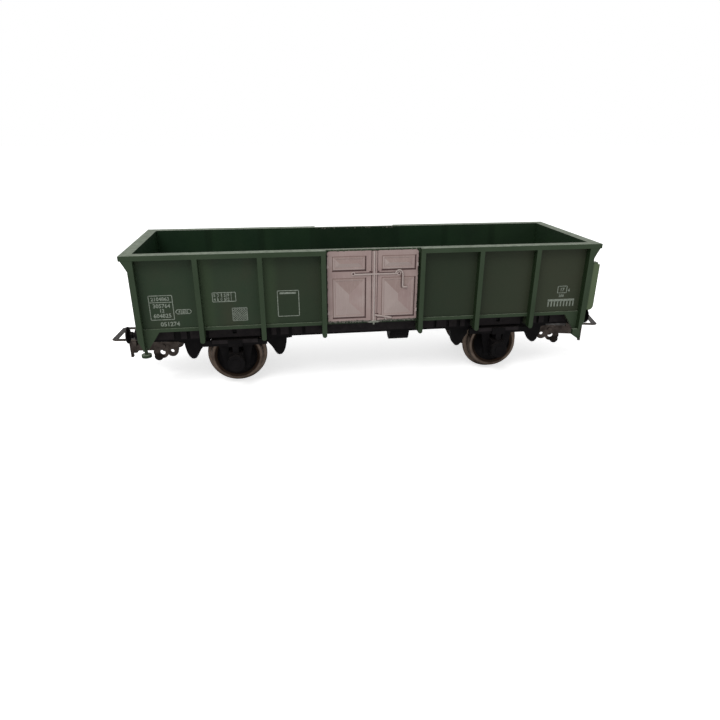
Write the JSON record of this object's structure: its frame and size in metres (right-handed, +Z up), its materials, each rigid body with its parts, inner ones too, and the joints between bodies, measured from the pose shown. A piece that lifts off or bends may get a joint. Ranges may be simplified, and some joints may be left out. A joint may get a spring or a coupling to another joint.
{
  "type": "model open goods wagon",
  "caption": "Two-axle open goods wagon model in 1:87 with high ribbed sides, pale double side doors, turning wheels, swinging couplers and lifting loops.",
  "frame": {"origin": "midway between the axles on the centre line, at the height of the lowest points of the wheel flanges", "axes": "+X along the wagon to its right-hand coupler, +Z up, and -Y towards the side called the front"},
  "size_m": [0.1186, 0.0314, 0.0312],
  "materials": {
    "green_plastic": "satin moulded",
    "door_paint": "matt brush-painted",
    "black_plastic": "satin moulded",
    "tyre_metal": "turned, dull brown plating",
    "bright_steel": "drawn",
    "coupler_metal": "stamped, dark brown plating",
    "loop_metal": "stamped, dull nickel",
    "ballast_steel": "sheared sheet"
  },
  "bodies": {
    "wagon": {"wagon_body": "green_plastic", "door_front": "door_paint", "door_rear": "door_paint", "ballast_weight": "ballast_steel", "chassis_pan": "black_plastic", "side_frame_front": "black_plastic", "side_frame_rear": "black_plastic", "brake_gear_left": "black_plastic", "brake_gear_right": "black_plastic", "brake_cylinder": "black_plastic", "chassis_screws": "bright_steel", "buffer_left_front": "black_plastic", "buffer_left_rear": "black_plastic", "buffer_right_front": "black_plastic", "buffer_right_rear": "black_plastic", "coupler_pivot_left": "bright_steel", "coupler_pivot_right": "bright_steel"},
    "wheelset_left": {"axle_left": "bright_steel", "wheel_left_front": "black_plastic", "wheel_left_rear": "black_plastic", "tyre_left_front": "tyre_metal", "tyre_left_rear": "tyre_metal"},
    "wheelset_right": {"axle_right": "bright_steel", "wheel_right_front": "black_plastic", "wheel_right_rear": "black_plastic", "tyre_right_front": "tyre_metal", "tyre_right_rear": "tyre_metal"},
    "hook_left": {"coupler_left": "coupler_metal", "coupler_rivet_left": "bright_steel"},
    "loop_left": {"coupler_loop_left": "loop_metal"},
    "hook_right": {"coupler_right": "coupler_metal", "coupler_rivet_right": "bright_steel"},
    "loop_right": {"coupler_loop_right": "loop_metal"}
  },
  "joints": [
    {"name": "wheelset_left_spin", "type": "hinge", "parent": "wagon", "child": "wheelset_left", "pos_m": [-0.03015, 0, 0.0067], "axis": [0, 1, 0], "continuous": true},
    {"name": "wheelset_right_spin", "type": "hinge", "parent": "wagon", "child": "wheelset_right", "pos_m": [0.03015, 0, 0.0067], "axis": [0, 1, 0], "continuous": true},
    {"name": "coupler_left_swing", "type": "hinge", "parent": "wagon", "child": "hook_left", "pos_m": [-0.045, 0, 0.00815], "axis": [0, 0, 1], "range_deg": [-11, 21]},
    {"name": "coupler_right_swing", "type": "hinge", "parent": "wagon", "child": "hook_right", "pos_m": [0.045, 0, 0.00815], "axis": [0, 0, 1], "range_deg": [-2, 30]},
    {"name": "loop_left_lift", "type": "hinge", "parent": "hook_left", "child": "loop_left", "pos_m": [-0.05177, 0.00059, 0.0094], "axis": [0.0872, 0.9962, 0], "range_deg": [0, 40]},
    {"name": "loop_right_lift", "type": "hinge", "parent": "hook_right", "child": "loop_right", "pos_m": [0.05296, -0.00198, 0.0094], "axis": [-0.2419, -0.9703, 0], "range_deg": [0, 40]}
  ]
}
